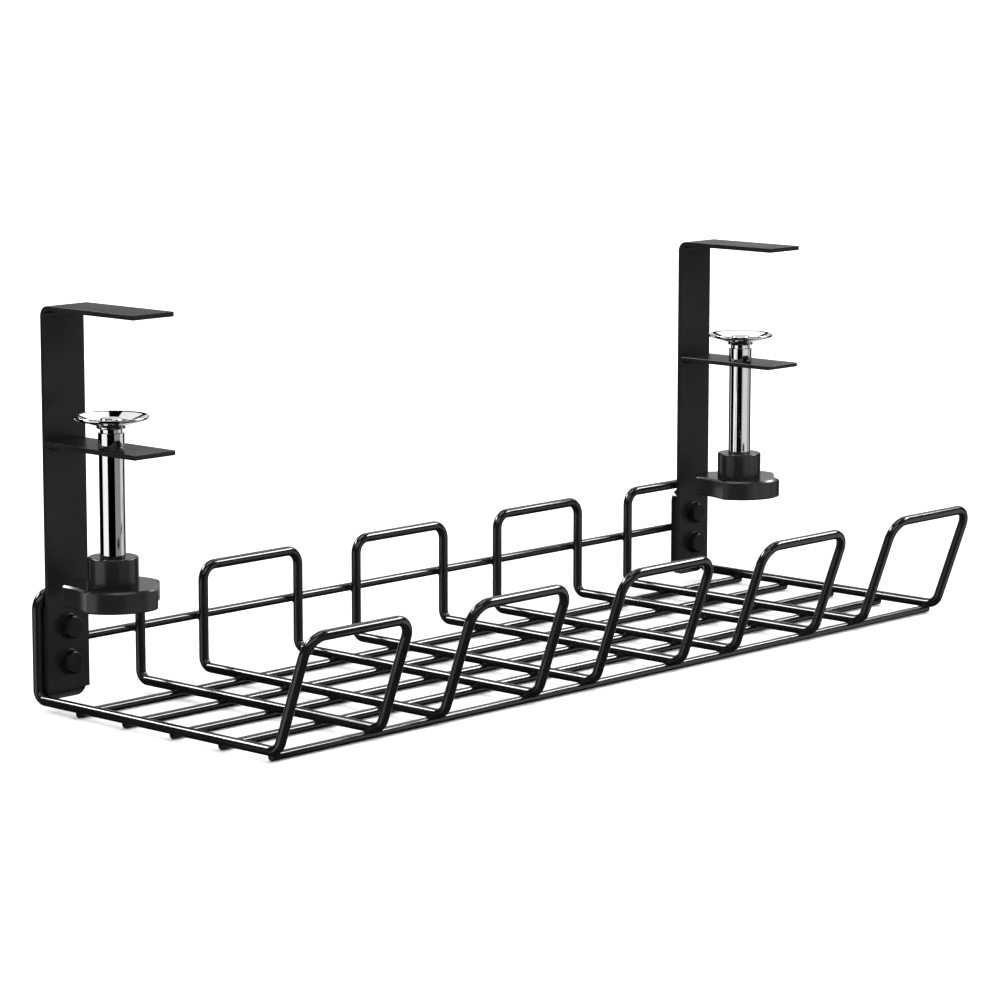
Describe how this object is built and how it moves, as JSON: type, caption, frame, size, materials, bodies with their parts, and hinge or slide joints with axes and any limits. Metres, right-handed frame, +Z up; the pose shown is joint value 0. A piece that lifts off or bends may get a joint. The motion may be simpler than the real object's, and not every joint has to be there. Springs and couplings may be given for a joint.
{
  "type": "cable tray",
  "caption": "Open-ended wire basket that holds cables under the back edge of a desk, hung from two screw clamps with hand knobs and round pads.",
  "frame": {"origin": "under the middle of the tray, level with the undersides of its lowest wires", "axes": "+X runs along the tray, +Z is up, and the open clamp jaws face -Y"},
  "size_m": [0.4103, 0.1558, 0.1561],
  "materials": {
    "tray_coating": "satin",
    "clamp_coating": "satin",
    "screw_chrome": "polished",
    "pad_chrome": "polished",
    "insert_brass": "machined",
    "knob_plastic": "satin",
    "black_zinc": "satin"
  },
  "bodies": {
    "tray": {"tray_loop_1": "tray_coating", "tray_loop_2": "tray_coating", "tray_loop_3": "tray_coating", "tray_loop_4": "tray_coating", "tray_loop_5": "tray_coating", "bottom_wire_1": "tray_coating", "bottom_wire_2": "tray_coating", "bottom_wire_3": "tray_coating", "bottom_wire_4": "tray_coating", "bottom_wire_5": "tray_coating", "back_wire": "tray_coating", "mounting_plate_left": "tray_coating", "strap_left": "clamp_coating", "lower_arm_left": "clamp_coating", "mounting_plate_right": "tray_coating", "strap_right": "clamp_coating", "lower_arm_right": "clamp_coating", "fixing_bolts": "black_zinc", "fixing_nuts": "black_zinc"},
    "pad_left": {"pressure_pad_left": "pad_chrome"},
    "screw_left": {"clamp_screw_left": "screw_chrome", "pad_rivet_left": "pad_chrome", "knob_left": "knob_plastic", "knob_insert_left": "insert_brass"},
    "pad_right": {"pressure_pad_right": "pad_chrome"},
    "screw_right": {"clamp_screw_right": "screw_chrome", "pad_rivet_right": "pad_chrome", "knob_right": "knob_plastic", "knob_insert_right": "insert_brass"}
  },
  "joints": [
    {"name": "clamp_travel_left", "type": "slide", "parent": "tray", "child": "pad_left", "axis": [0, 0, 1], "range_m": [0, 0.038]},
    {"name": "screw_turn_left", "type": "hinge", "parent": "pad_left", "child": "screw_left", "pos_m": [-0.1862, 0.0416, 0.1044], "axis": [0, 0, 1], "range_deg": [0, 9120]},
    {"name": "clamp_travel_right", "type": "slide", "parent": "tray", "child": "pad_right", "axis": [0, 0, 1], "range_m": [0, 0.038]},
    {"name": "screw_turn_right", "type": "hinge", "parent": "pad_right", "child": "screw_right", "pos_m": [0.1862, 0.0416, 0.1044], "axis": [0, 0, 1], "range_deg": [0, 9120]}
  ],
  "couplings": [
    {"joint": "screw_turn_left", "follows": "clamp_travel_left", "rad_per_m": 4188.8},
    {"joint": "screw_turn_right", "follows": "clamp_travel_right", "rad_per_m": 4188.8}
  ]
}
